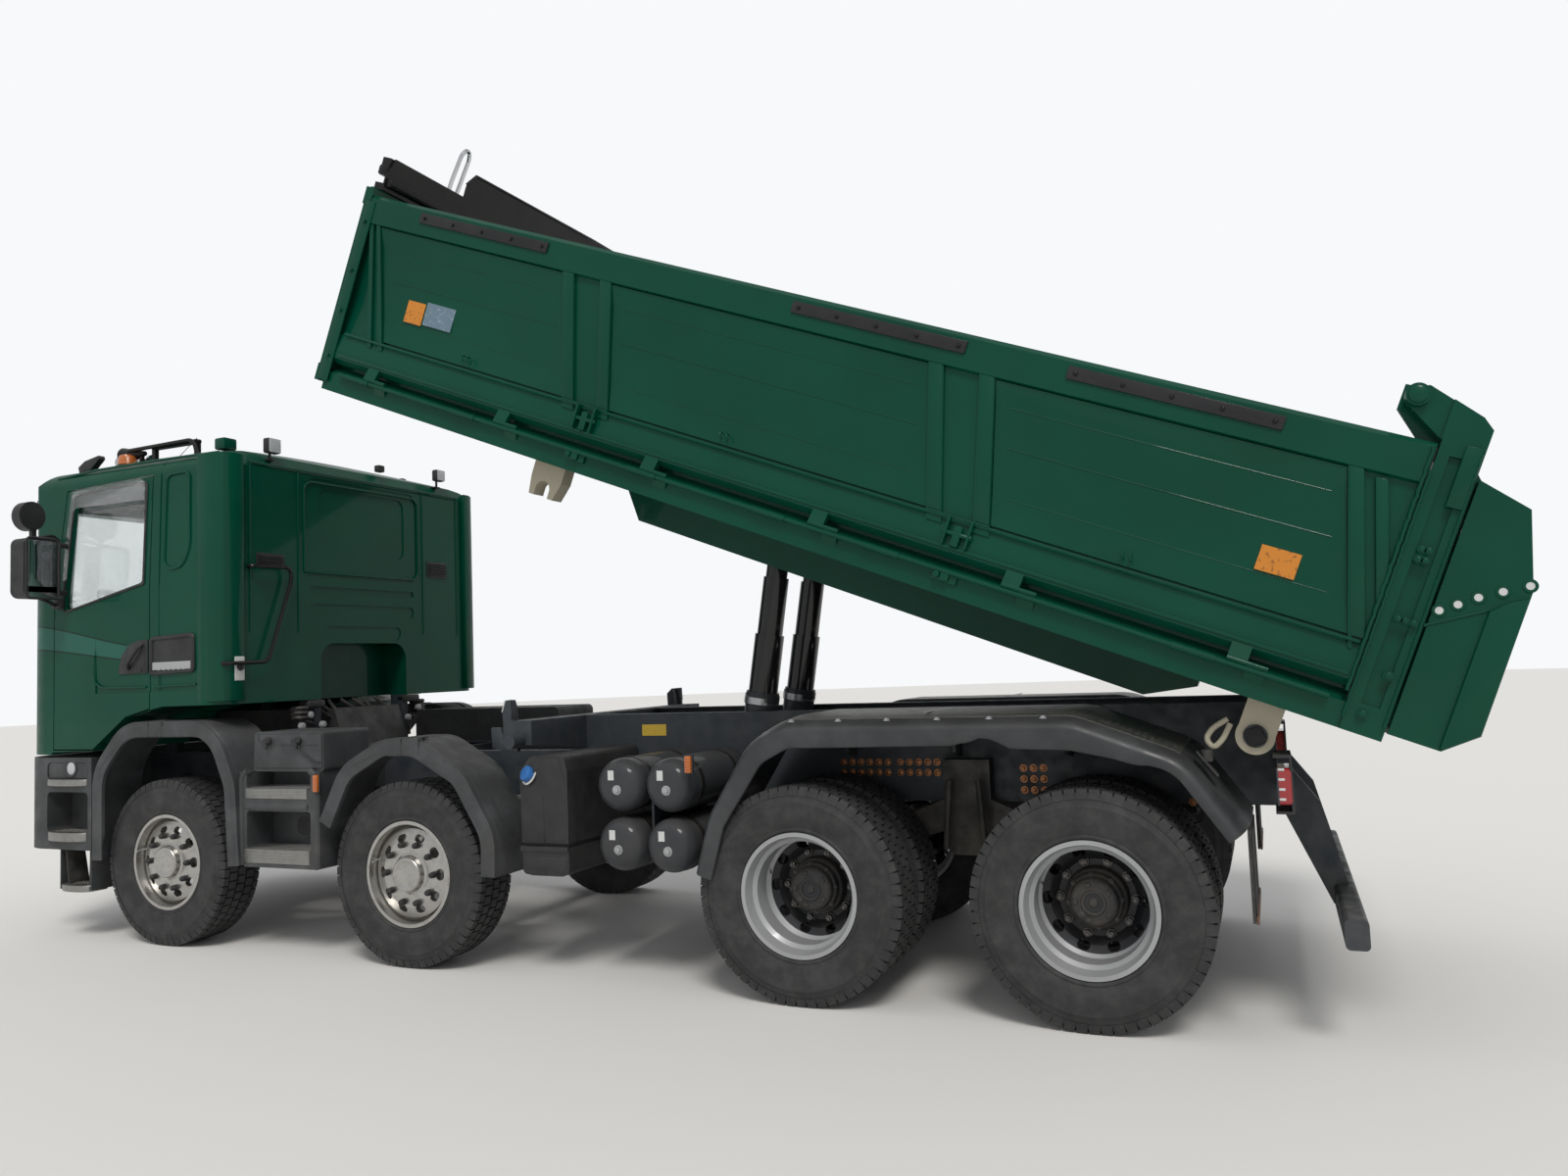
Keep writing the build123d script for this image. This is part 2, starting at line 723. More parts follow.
# Side tanks: urea tank on the left, fuel tank and hydraulic oil tank on the right
UREA_X = (1290, 1580)
FAR_TANK_X = (2480, 3750)
FAR_TANK_DEPTH = 440
with BuildPart() as side_tanks:
    with BuildSketch(side(1200)):
        with BuildLine():
            FilletPolyline(
                (UREA_X[0], 560),
                (UREA_X[1], 560),
                (UREA_X[1] + 10, 1100),
                (UREA_X[1] - 60, 1180),
                (UREA_X[0] + 20, 1180),
                (UREA_X[0], 1100),
                radius=30,
                close=True,
            )
        make_face()
    extrude(amount=1200 - FRAME_HALF)
    # groove between the tank and its lower cover
    with BuildSketch(Plane.XY.offset(700)):
        with Locations(((UREA_X[0] + UREA_X[1]) / 2, 1000)):
            Rectangle(400, 500)
        with Locations(((UREA_X[0] + UREA_X[1]) / 2, 900)):
            Rectangle(270, 560, mode=Mode.SUBTRACT)
    extrude(amount=26, mode=Mode.SUBTRACT)
    with BuildSketch(side(-FRAME_HALF)):
        with Locations((1150, 830)):
            RectangleRounded(900, 560, 90)
    extrude(amount=740)
    with BuildSketch(side(-FRAME_HALF)):
        with Locations(((FAR_TANK_X[0] + FAR_TANK_X[1]) / 2, 1262)):
            RectangleRounded(FAR_TANK_X[1] - FAR_TANK_X[0], 236, 40)
    extrude(amount=FAR_TANK_DEPTH)
save(side_tanks, "side_tanks")

# Four air tanks lying across the truck
with BuildPart() as air_tanks:
    for x in AIR_X:
        for z in (AIR_TOP_Z, AIR_LOW_Z):
            with BuildSketch(side(AIR_END_Y)):
                with Locations((x, z)):
                    Circle(AIR_R)
            extrude(amount=AIR_END_Y - FRAME_HALF)
    fillet(air_tanks.faces().sort_by(Axis.Y)[-4:].edges(), radius=85)
save(air_tanks, "air_tanks")

# Rear underrun bar on its two arms, with the tail lamps' brackets
with BuildPart() as tail_bar:
    with BuildSketch(side(FRAME_HALF)):
        with BuildLine():
            Polyline(
                (FRAME_REAR, 1050),
                (FRAME_REAR, 900),
                (-2330, 440),
                (-2420, 440),
                (-2300, 900),
                (-2190, 1050),
                close=True,
            )
        make_face()
    extrude(amount=60)
    mirror(about=Plane.XZ)
    with BuildSketch(side(1180)):
        with Locations((-2380, 470)):
            RectangleRounded(90, 120, 20)
    extrude(amount=2360)
    with BuildSketch(side(1200)):
        with Locations((FRAME_REAR - TAIL_PLATE_T / 2, 1050)):
            Rectangle(TAIL_PLATE_T, 150)
    extrude(amount=2400)
save(tail_bar, "tail_bar")

# Rubber mudflaps behind the rear wheels
FLAP_LOW_Z = 505
FLAP_T = 12
FLAP_TOP_Z = REAR_FENDER_END_Z - END_FACE_DROP - SEAT_GAP
with BuildPart() as mudflaps:
    with BuildSketch(Plane.YZ.offset(REAR_FENDER_END_X)):
        with Locations((905, (FLAP_LOW_Z + FLAP_TOP_Z) / 2)):
            Rectangle(640, FLAP_TOP_Z - FLAP_LOW_Z)
    extrude(amount=FLAP_T)
    mirror(about=Plane.XZ)
save(mudflaps, "mudflaps")


def cab_form(inset, floor):
    """The cab's outer form, each face moved in by the inset, with the given lowest height."""
    front = CAB_FRONT - inset
    rear = CAB_REAR + inset
    half = CAB_HALF - inset
    with BuildPart() as form:
        with BuildSketch(Plane.XY.offset(floor)):
            with BuildLine():
                Line((rear, 0), (rear, half - 150))
                ThreePointArc((rear, half - 150), (rear + 44, half - 44), (rear + 150, half))
                Line((rear + 150, half), (5430 - inset, half))
                ThreePointArc((5430 - inset, half), (5620 - inset, 1140 - inset), (5705 - inset, 940 - inset))
                ThreePointArc((5705 - inset, 940 - inset), (front - 14, 480), (front, 0))
                Line((front, 0), (rear, 0))
            make_face()
            mirror(about=Plane.XZ)
        extrude(amount=2200)
        with BuildSketch(side(CAB_HALF + 50)):
            with BuildLine():
                Polyline(
                    (rear - 1, floor),
                    (rear - 1, 3020 - inset),
                    (rear + 60, 3120 - inset),
                    (rear + 260, CAB_ROOF_Z - inset),
                    (rear + 700, CAB_ROOF_Z - inset),
                    (front - 340, 3120 - inset),
                    (front - 180, 3010 - inset),
                    (front - 30, 2100),
                    (front + 1, 1900),
                    (front + 1, floor),
                    close=True,
                )
            make_face()
        extrude(amount=2 * CAB_HALF + 100, mode=Mode.INTERSECT)
        with BuildSketch(Plane.YZ.offset(CAB_REAR - 50)):
            with BuildLine():
                Line((0, floor), (half, floor))
                Line((half, floor), (half, 2250))
                Line((half, 2250), (half - 28, 2980 - inset))
                shoulder = (half - 28, 2980 - inset)
                eaves = (half - 55, CAB_EAVES_Z - inset)
                roof = (half - 130, 3105 - inset)
                ThreePointArc(shoulder, eaves, roof)
                ThreePointArc(roof, (560, 3165 - inset), (0, CAB_ROOF_Z - inset))
                Line((0, CAB_ROOF_Z - inset), (0, floor))
            make_face()
            mirror(about=Plane.YZ)
        extrude(amount=2200, mode=Mode.INTERSECT)
    return form.part


# Door outline in x and z, from the rear top corner round by the front; the arch cuts its lower rear
DOOR_LOW = 1235
DOOR_ARCH_Z = 1490


def door_outline(grow):
    """Corners of the door, moved out by the given gap."""
    return (
        (DOOR_REAR_X - grow, DOOR_TOP_Z + grow),
        (DOOR_FRONT_X - 90 + grow, DOOR_TOP_Z - 30 + grow),
        (DOOR_FRONT_X + grow, 2250),
        (DOOR_FRONT_X + grow, DOOR_LOW - grow),
        (4950, DOOR_LOW - grow),
        (4640, 1440 - grow),
        (DOOR_REAR_X - grow, DOOR_ARCH_Z - grow),
    )


# Door window in x and z
WINDOW = ((4480, 2940), (5150, 2915), (5225, 2250), (5225, 2150), (4480, 2300))
DOOR_SLAB = 50
SCREEN_X = 5350
SCREEN_Z = 2560
SCREEN_W = 2060
SCREEN_H = 780
SCREEN_ROUND = 90
ARCH_HALF = 410
ARCH_TOP_Z = 1880
ARCH_DEPTH = 190
# crease along both sides: a shallow wedge, deepest at its lower edge
CREASE_X = (3990, 4925)
CREASE_Z = (1595, 1960)
CREASE_DEPTH = 8
cab_outer = cab_form(0, 1200)
cab_inner = cab_form(CAB_WALL, CAB_FLOOR_Z)
with BuildPart() as crease:
    with BuildSketch(Plane.YZ.offset(CREASE_X[0])):
        with BuildLine():
            Polyline(
                (CAB_HALF + 1, CREASE_Z[0]),
                (CAB_HALF + 1, CREASE_Z[1]),
                (CAB_HALF, CREASE_Z[1]),
                (CAB_HALF - CREASE_DEPTH, CREASE_Z[0]),
                close=True,
            )
        make_face()
    extrude(amount=CREASE_X[1] - CREASE_X[0])
    mirror(about=Plane.XZ)
side_crease = crease.part
with BuildPart() as cab_shell:
    add(cab_outer)
    add(cab_inner, mode=Mode.SUBTRACT)
    # underside: wheel arches, rear overhang and the engine tunnel
    with BuildSketch(side(CAB_HALF + 50)):
        with BuildLine():
            Polyline(
                (3700, 1100),
                (3700, CAB_UNDER_Z),
                (4300, CAB_UNDER_Z),
                (4640, 1440),
                (4950, 1225),
                (5350, 1215),
                (5350, 1100),
                close=True,
            )
        make_face()
    extrude(amount=2 * CAB_HALF + 100, mode=Mode.SUBTRACT)
    with BuildSketch(side(520)):
        with Locations((4500, 1300)):
            Rectangle(1800, 400)
    extrude(amount=1040, mode=Mode.SUBTRACT)
    # door openings
    for y, depth in ((CAB_HALF + 50, 150), (-CAB_HALF - 50, -150)):
        with BuildSketch(side(y)):
            with BuildLine():
                Polyline(*door_outline(DOOR_GAP), close=True)
            make_face()
            with Locations((4900, 1400)):
                Rectangle(1200, 320, mode=Mode.SUBTRACT)
        extrude(amount=depth, mode=Mode.SUBTRACT)
    rebate = 50 + DOOR_SLAB + SEAT_GAP
    for y, depth in ((CAB_HALF + 50, rebate), (-CAB_HALF - 50, -rebate)):
        with BuildSketch(side(y)):
            with BuildLine():
                Polyline(*door_outline(DOOR_GAP), close=True)
            make_face()
        extrude(amount=depth, mode=Mode.SUBTRACT)
    # step wells behind the doors
    for y, depth in ((CAB_HALF + 50, 380), (-CAB_HALF - 50, -380)):
        with BuildSketch(side(y)):
            with Locations((5020, 1440)):
                Rectangle(440, 260)
        extrude(amount=depth, mode=Mode.SUBTRACT)
    # windscreen
    with BuildSketch(Plane.YZ.offset(SCREEN_X)):
        with Locations((0, SCREEN_Z)):
            RectangleRounded(SCREEN_W, SCREEN_H, SCREEN_ROUND)
    extrude(amount=500, mode=Mode.SUBTRACT)
    # arch over the gearbox, let in from behind, with its cover inside
    with BuildSketch(Plane.YZ.offset(CAB_REAR + 20)):
        with Locations((0, (CAB_UNDER_Z + ARCH_TOP_Z + 40) / 2)):
            Rectangle(2 * ARCH_HALF + 90, ARCH_TOP_Z + 40 - CAB_UNDER_Z)
    extrude(amount=ARCH_DEPTH + 20)
    with BuildSketch(Plane.YZ.offset(CAB_REAR - 10)):
        with BuildLine():
            FilletPolyline(
                (-ARCH_HALF, CAB_UNDER_Z - 10),
                (-ARCH_HALF, ARCH_TOP_Z),
                (ARCH_HALF, ARCH_TOP_Z),
                (ARCH_HALF, CAB_UNDER_Z - 10),
                radius=120,
            )
            Line((ARCH_HALF, CAB_UNDER_Z - 10), (-ARCH_HALF, CAB_UNDER_Z - 10))
        make_face()
    extrude(amount=ARCH_DEPTH + 10, mode=Mode.SUBTRACT)
    # pressed relief of the rear wall; columns: width, height, middle z, corner radius, depth
    for width, height, z, bend, depth in (
        (1100, 670, 2675, 110, 6),
        (820, 450, 2725, 70, 14),
        (1000, 44, 2245, 20, 9),
        (1000, 88, 2105, 40, 7),
        (720, 96, 1950, 45, 7),
    ):
        with BuildSketch(Plane.YZ.offset(CAB_REAR)):
            with Locations((0, z)):
                RectangleRounded(width, height, bend)
        extrude(amount=depth, mode=Mode.SUBTRACT)
    add(side_crease, mode=Mode.SUBTRACT)
    # the cab's hinge barrels, each on a leaf from the door opening's edge
    for y in (DOOR_PIN_Y, -DOOR_PIN_Y):
        for z in DOOR_PIN_Z:
            with BuildSketch(Plane.XY.offset(z + DOOR_BARREL_LEN + BARREL_GAP)):
                with Locations((DOOR_FRONT_X, y)):
                    Circle(DOOR_PIN_R)
                with Locations((DOOR_FRONT_X + DOOR_GAP / 2 + 1, y)):
                    Rectangle(DOOR_GAP + 2, DOOR_PIN_R)
            extrude(amount=CAB_BARREL_LEN)
save(cab_shell, "cab_shell")

with BuildPart() as windscreen:
    add(cab_form(12, 1200))
    add(cab_form(12 + GLASS_T, 1200), mode=Mode.SUBTRACT)
    with BuildSketch(Plane.YZ.offset(SCREEN_X)):
        with Locations((0, SCREEN_Z)):
            RectangleRounded(SCREEN_W - 2 * SEAT_GAP, SCREEN_H - 2 * SEAT_GAP, SCREEN_ROUND - SEAT_GAP)
    extrude(amount=500, mode=Mode.INTERSECT)
save(windscreen, "windscreen")

# Doors with their windows and glass, the right one mirrored from the left
with BuildPart() as door_left:
    add(cab_outer)
    with BuildSketch(side(CAB_HALF + 50)):
        with BuildLine():
            Polyline(*door_outline(0), close=True)
        make_face()
    extrude(amount=50 + DOOR_SLAB, mode=Mode.INTERSECT)
    with BuildSketch(side(CAB_HALF + 50)):
        with BuildLine():
            FilletPolyline(*WINDOW, radius=40, close=True)
        make_face()
    extrude(amount=200, mode=Mode.SUBTRACT)
    add(side_crease, mode=Mode.SUBTRACT)
    # hinge barrels on the front edge, with room above each for the cab's barrel
    for z in DOOR_PIN_Z:
        with BuildSketch(Plane.XY.offset(z)):
            with Locations((DOOR_FRONT_X, DOOR_PIN_Y)):
                Circle(DOOR_PIN_R)
        extrude(amount=DOOR_BARREL_LEN)
        with BuildSketch(Plane.XY.offset(z + DOOR_BARREL_LEN)):
            with Locations((DOOR_FRONT_X, DOOR_PIN_Y)):
                Circle(DOOR_PIN_R + BARREL_ROOM)
        extrude(amount=CAB_BARREL_LEN + 2 * BARREL_GAP, mode=Mode.SUBTRACT)
with BuildPart() as door_glass_left:
    add(cab_form(18, 1200))
    add(cab_form(18 + GLASS_T, 1200), mode=Mode.SUBTRACT)
    with BuildSketch(side(CAB_HALF + 50)):
        with BuildLine():
            FilletPolyline(*WINDOW, radius=40, close=True)
        make_face()
        offset(amount=-SEAT_GAP, mode=Mode.REPLACE)
    extrude(amount=200, mode=Mode.INTERSECT)

# Mirror on the door's front frame
MIRROR_X = 5200
MIRROR_Y = 1430
with BuildPart() as mirror_left:
    with BuildSketch(Plane.YZ.offset(MIRROR_X - 60)):
        with Locations((MIRROR_Y, 2420)):
            RectangleRounded(240, 390, 50)
    extrude(amount=130)
    with BuildSketch(Plane.YZ.offset(MIRROR_X + 40)):
        with Locations((MIRROR_Y, 2770)):
            Ellipse(85, 95)
    extrude(amount=80)
    with BuildSketch(side(MIRROR_Y)):
        with Locations((MIRROR_X + 60, 2650)):
            Rectangle(30, 100)
    extrude(amount=30)
    for z in (2270, 2590):
        with BuildSketch(side(MIRROR_Y)):
            with Locations((MIRROR_X + 30, z)):
                RectangleRounded(50, 34, 10)
        extrude(amount=MIRROR_Y - CAB_HALF + 3)
    add(door_left.part, mode=Mode.SUBTRACT)
for left, name in ((door_left, "door"), (door_glass_left, "door_glass"), (mirror_left, "mirror")):
    with BuildPart() as right:
        mirror(left.part, about=Plane.XZ)
    save(left, f"{name}_left")
    save(right, f"{name}_right")

# Dashboard across the cab, steering wheel and seats
WHEEL_X = 5110
WHEEL_Y = 560
WHEEL_Z = 2180
WHEEL_RAKE = 30
column = Plane(
    origin=(WHEEL_X, WHEEL_Y, WHEEL_Z),
    x_dir=(0, 1, 0),
    z_dir=(-sin(radians(WHEEL_RAKE)), 0, cos(radians(WHEEL_RAKE))),
)
with BuildPart() as dashboard:
    add(cab_form(CAB_WALL, CAB_FLOOR_Z))
    with BuildSketch(side(1130)):
        with BuildLine():
            Polyline(
                (5300, CAB_FLOOR_Z),
                (5230, 1950),
                (5280, 2080),
                (5560, 2120),
                (5640, 2050),
                (5640, CAB_FLOOR_Z),
                close=True,
            )
        make_face()
    extrude(amount=2260, mode=Mode.INTERSECT)
    with BuildSketch(column.offset(-12 - SEAT_GAP)):
        Circle(34)
    extrude(amount=-260)
save(dashboard, "dashboard")

with BuildPart() as steering_wheel:
    with BuildSketch(Plane(origin=column.origin, x_dir=column.z_dir, z_dir=column.x_dir.cross(column.z_dir))):
        with Locations((0, 225)):
            Circle(15)
    revolve(axis=Axis(column.origin, column.z_dir))
    with BuildSketch(column.offset(-12)):
        Circle(50)
        Rectangle(440, 36)
        with Locations((0, -110)):
            Rectangle(40, 220)
    extrude(amount=20)
save(steering_wheel, "steering_wheel")

with BuildPart() as seats:
    for y in (WHEEL_Y, -WHEEL_Y):
        with BuildSketch(side(y + 260)):
            with BuildLine():
                FilletPolyline(
                    (4180, 1960),
                    (4230, 2090),
                    (4150, 2650),
                    (4180, 2880),
                    (4090, 2880),
                    (4040, 2640),
                    (4090, 1960),
                    radius=25,
                    close=True,
                )
            make_face()
            with Locations((4380, 2020)):
                RectangleRounded(520, 150, 50)
            with Locations((4380, (CAB_FLOOR_Z + 1980) / 2)):
                Rectangle(340, 1980 - CAB_FLOOR_Z)
        extrude(amount=520)
save(seats, "seats")

# Sun visor over the windscreen
with BuildPart() as sun_visor:
    with BuildSketch(side(1060)):
        with BuildLine():
            Polyline(
                (5600, 3060),
                (5760, 2960),
                (5790, 2890),
                (5778, 2885),
                (5745, 2950),
                (5598, 3046),
                close=True,
            )
        make_face()
    extrude(amount=2120)
    for y in (1020, 0, -1000):
        with BuildSketch(side(y)):
            with BuildLine():
                Polyline(
                    (5570, 3020),
                    (5560, 2990),
                    (5640, 2960),
                    (5700, 2975),
                    (5700, 2990),
                    (5640, 3018),
                    close=True,
                )
            make_face()
        extrude(amount=20)
    add(cab_outer, mode=Mode.SUBTRACT)
save(sun_visor, "sun_visor")

# Roof rail with its beacon pole and the two air horns
with BuildPart() as roof_fittings:
    for y in (960, -960):
        with BuildSketch(side(y + 15)):
            with Locations((4500, 3235)):
                RectangleRounded(440, 30, 14)
            with Locations((4300, 3175), (4700, 3170)):
                Rectangle(30, 120)
        extrude(amount=30)
        with BuildSketch(Plane(origin=(4800, y, 3210), x_dir=(0, 1, 0), z_dir=(1, 0, 0))):
            Circle(16)
        with BuildSketch(Plane(origin=(5000, y, 3210), x_dir=(0, 1, 0), z_dir=(1, 0, 0))):
            Circle(58)
        loft()
        with BuildSketch(side(y + 10)):
            with Locations((4830, 3165)):
                Rectangle(24, 90)
        extrude(amount=20)
    add(cab_outer, mode=Mode.SUBTRACT)
save(roof_fittings, "roof_fittings")

# Steering knuckles: a fork round the axle beam's eye on its kingpin, and the wheel spindle
FORK_GAP = 0.4
FORK_LUG = 34
for number in (1, 2):
    x = AXLE_X[number]
    with BuildPart() as knuckle:
        for low in (HUB_Z - 50 - FORK_GAP - FORK_LUG, HUB_Z + 40 + FORK_GAP):
            with BuildSketch(Plane.XY.offset(low)):
                with Locations((x, KINGPIN_Y)):
                    Circle(50)
                with Locations((x, KINGPIN_Y + 45)):
                    Rectangle(100, 90)
            extrude(amount=FORK_LUG)
        with BuildSketch(Plane.XY.offset(HUB_Z - 80)):
            with Locations((x, KINGPIN_Y)):
                Circle(25.5)
        extrude(amount=150)
        with BuildSketch(side(KINGPIN_Y + 62)):
            with Locations((x, HUB_Z - 5)):
                RectangleRounded(130, 90 + 2 * FORK_LUG, 15)
        extrude(amount=-28)
        with BuildSketch(side(KINGPIN_Y + 90)):
            with Locations((x, HUB_Z)):
                Circle(SPINDLE_R)
        extrude(amount=-(FRONT_TYRE_Y + 60 - KINGPIN_Y - 90))
    with BuildPart() as opposite:
        mirror(knuckle.part, about=Plane.XZ)
    save(knuckle, f"knuckle_{number}_left")
    save(opposite, f"knuckle_{number}_right")


def tyre_profile(middle):
    """Section of one tyre about its middle plane: outer tread and walls, open at the beads."""
    bead = RIM_R + BEAD_CLEAR
    with BuildSketch() as section:
        with BuildLine():
            Polyline(
                (middle - 112, bead),
                (middle - 112, RIM_FLANGE_R + 1),
                (middle - 130, RIM_FLANGE_R + 3),
                (middle - TYRE_HALF, 400),
                (middle - 142, 480),
                (middle - 122, TYRE_R - 2),
                (middle - 60, TYRE_R),
                (middle + 60, TYRE_R),
                (middle + 122, TYRE_R - 2),
                (middle + 142, 480),
                (middle + TYRE_HALF, 400),
                (middle + 130, RIM_FLANGE_R + 3),
                (middle + 112, RIM_FLANGE_R + 1),
                (middle + 112, bead),
                (middle + 92, bead),
                (middle + 128, 400),
                (middle + 112, 490),
                (middle - 112, 490),
                (middle - 128, 400),
                (middle - 92, bead),
                close=True,
            )
        make_face()
    return section.sketch


def rim_barrel(middle):
    """Section of one rim's barrel about its middle plane, with a drop centre."""
    with BuildSketch() as section:
        with BuildLine():
            Polyline(
                (middle - RIM_HALF, RIM_FLANGE_R),
                (middle - 113, RIM_FLANGE_R),
                (middle - 113, RIM_R),
                (middle - 60, RIM_R - 6),
                (middle - 45, RIM_R - 26),
                (middle + 45, RIM_R - 26),
                (middle + 60, RIM_R - 6),
                (middle + 113, RIM_R),
                (middle + 113, RIM_FLANGE_R),
                (middle + RIM_HALF, RIM_FLANGE_R),
                (middle + RIM_HALF, RIM_R - 6),
                (middle + 70, RIM_R - 20),
                (middle + 52, RIM_R - 38),
                (middle - 52, RIM_R - 38),
                (middle - 70, RIM_R - 20),
                (middle - RIM_HALF, RIM_R - 6),
                close=True,
            )
        make_face()
    return section.sketch


# Wheels of the steered axles: tyre and alloy rim with its hub
DISC_Y = FRONT_TYRE_Y + 60
FRONT_HAND_HOLES = 10
HAND_HOLE_PITCH_R = 205
for number in (1, 2):
    x = AXLE_X[number]
    with BuildPart() as tyre:
        with BuildSketch(hub_plane(x)):
            add(tyre_profile(FRONT_TYRE_Y))
        revolve(axis=hub_axis(x))
    with BuildPart() as rim:
        with BuildSketch(hub_plane(x)):
            add(rim_barrel(FRONT_TYRE_Y))
            with BuildLine():
                Polyline(
                    (DISC_Y - 40, RIM_R - 34),
                    (DISC_Y + 20, RIM_R - 34),
                    (DISC_Y + 42, 190),
                    (DISC_Y + 42, 105),
                    (DISC_Y + 72, 100),
                    (DISC_Y + 78, 80),
                    (DISC_Y + 78, 0),
                    (DISC_Y + 4, 0),
                    (DISC_Y + 4, HUB_BORE_R),
                    (KINGPIN_Y + 96, HUB_BORE_R),
                    (KINGPIN_Y + 96, 110),
                    (DISC_Y, 130),
                    (DISC_Y + 10, 190),
                    close=True,
                )
            make_face()
        revolve(axis=hub_axis(x))
        with BuildSketch(side(DISC_Y + 60)):
            with Locations((x, HUB_Z)):
                with PolarLocations(HAND_HOLE_PITCH_R, FRONT_HAND_HOLES):
                    SlotOverall(64, 42, rotation=90)
        extrude(amount=100, mode=Mode.SUBTRACT)
    for left, name in ((tyre, "tyre"), (rim, "rim")):
        with BuildPart() as opposite:
            mirror(left.part, about=Plane.XZ)
        save(left, f"{name}_{number}_left")
        save(opposite, f"{name}_{number}_right")

# Twin wheels of the driven axles: two tyres and two dished steel rims on one hub
for number in (3, 4):
    x = AXLE_X[number]
    with BuildPart() as tyre:
        with BuildSketch(hub_plane(x)):
            add(tyre_profile(TWIN_Y + TWIN_OFFSET))
            add(tyre_profile(TWIN_Y - TWIN_OFFSET))
        revolve(axis=hub_axis(x))
    with BuildPart() as rim:
        with BuildSketch(hub_plane(x)):
            for way in (1, -1):
                add(rim_barrel(TWIN_Y + way * TWIN_OFFSET))
                with BuildLine():
                    Polyline(
                        (TWIN_Y, 100),
                        (TWIN_Y, 180),
                        (TWIN_Y + way * 40, 225),
                        (TWIN_Y + way * 75, RIM_R - 8),
                        (TWIN_Y + way * 95, RIM_R - 14),
                        (TWIN_Y + way * 55, 205),
                        (TWIN_Y + way * 14, 172),
                        (TWIN_Y + way * 14, 100),
                        close=True,
                    )
                make_face()
            with BuildLine():
                Polyline(
                    (TWIN_Y - 300, SPINDLE_R + 10.5),
                    (TWIN_Y - 300, 140),
                    (TWIN_Y - 20, 140),
                    (TWIN_Y + 20, 130),
                    (TWIN_Y + 95, 110),
                    (TWIN_Y + 120, 105),
                    (TWIN_Y + 140, 70),
                    (TWIN_Y + 140, 0),
                    (TWIN_Y + 88, 0),
                    (TWIN_Y + 88, SPINDLE_R + 10.5),
                    close=True,
                )
            make_face()
        revolve(axis=hub_axis(x))
        with BuildSketch(side(TWIN_Y + 130)):
            with Locations((x, HUB_Z)):
                with PolarLocations(215, 10):
                    SlotOverall(58, 40, rotation=90)
        extrude(amount=260, mode=Mode.SUBTRACT)
    for left, name in ((tyre, "tyres"), (rim, "rims")):
        with BuildPart() as opposite:
            mirror(left.part, about=Plane.XZ)
        save(left, f"{name}_{number}_left")
        save(opposite, f"{name}_{number}_right")

# Telescopic tipping presses: two side by side, in step, each barrel with three stages
eye_x, eye_z = body_point(PRESS_U, PRESS_W)
lean = atan((PRESS_PIVOT_X - eye_x) / (eye_z - PRESS_PIVOT_Z))
press_length = hypot(PRESS_PIVOT_X - eye_x, eye_z - PRESS_PIVOT_Z) - PRESS_SLACK
press_up = Vector(-sin(lean), 0, cos(lean))
pivot = Vector(PRESS_PIVOT_X, 0, PRESS_PIVOT_Z)


def press_plane(along, y):
    """Plane square to a press's axis, at a distance along it from the trunnion."""
    return Plane(origin=pivot + press_up * along + Vector(0, y, 0), x_dir=(0, 1, 0), z_dir=press_up)


EYE_R = 29
EYE_NECK = 38
TUBE_WALL = 6
TRUNNION_R = 30
TRUNNION_ROOT = 4
SEAL_LEN = 8
with BuildPart() as press_barrels:
    for y in (PRESS_Y, -PRESS_Y):
        with BuildSketch(press_plane(PRESS_REACH - PRESS_CLOSED, y)):
            Circle(PRESS_BARREL_R)
        extrude(amount=PRESS_CLOSED)
        with BuildSketch(press_plane(PRESS_REACH - 55, y)):
            Circle(PRESS_BARREL_R + 5)
        extrude(amount=40)
        with BuildSketch(press_plane(PRESS_REACH - PRESS_CLOSED + 20, y)):
            Circle(PRESS_BARREL_R - TUBE_WALL)
        extrude(amount=PRESS_CLOSED - 20 - SEAL_LEN, mode=Mode.SUBTRACT)
        with BuildSketch(press_plane(PRESS_REACH - SEAL_LEN, y)):
            Circle(PRESS_BARREL_R - PRESS_STEP_R + SEAT_GAP)
        extrude(amount=SEAL_LEN, mode=Mode.SUBTRACT)
    # trunnion at each barrel's outer side, reaching the rail
    for way in (1, -1):
        with BuildSketch(side(way * (FRAME_HALF - RAIL_WALL - SEAT_GAP))):
            with Locations((PRESS_PIVOT_X, PRESS_PIVOT_Z)):
                Circle(TRUNNION_R)
        extrude(amount=way * (FRAME_HALF - RAIL_WALL - SEAT_GAP - PRESS_Y - PRESS_BARREL_R + TRUNNION_ROOT))
save(press_barrels, "press_barrels")

share = (press_length - PRESS_REACH - EYE_NECK) / PRESS_STAGES
head = pivot + press_up * press_length
for stage in range(1, PRESS_STAGES + 1):
    radius = PRESS_BARREL_R - stage * PRESS_STEP_R
    top = PRESS_REACH + stage * share
    low = top - PRESS_CLOSED + 24 * stage
    with BuildPart() as press_stage:
        for y in (PRESS_Y, -PRESS_Y):
            with BuildSketch(press_plane(low, y)):
                Circle(radius)
            extrude(amount=top - low)
            if stage < PRESS_STAGES:
                with BuildSketch(press_plane(low + 4, y)):
                    Circle(radius - TUBE_WALL)
                extrude(amount=top - low - 4 - SEAL_LEN, mode=Mode.SUBTRACT)
                with BuildSketch(press_plane(top - SEAL_LEN, y)):
                    Circle(radius - PRESS_STEP_R + SEAT_GAP)
                extrude(amount=SEAL_LEN, mode=Mode.SUBTRACT)
            else:
                with BuildSketch(press_plane(top, y)):
                    Circle(24)
                extrude(amount=EYE_NECK)
                with BuildSketch(side(y + EYE_R)):
                    with Locations((head.X, head.Z)):
                        Circle(EYE_R)
                extrude(amount=2 * EYE_R)
    save(press_stage, f"press_stage_{stage}")

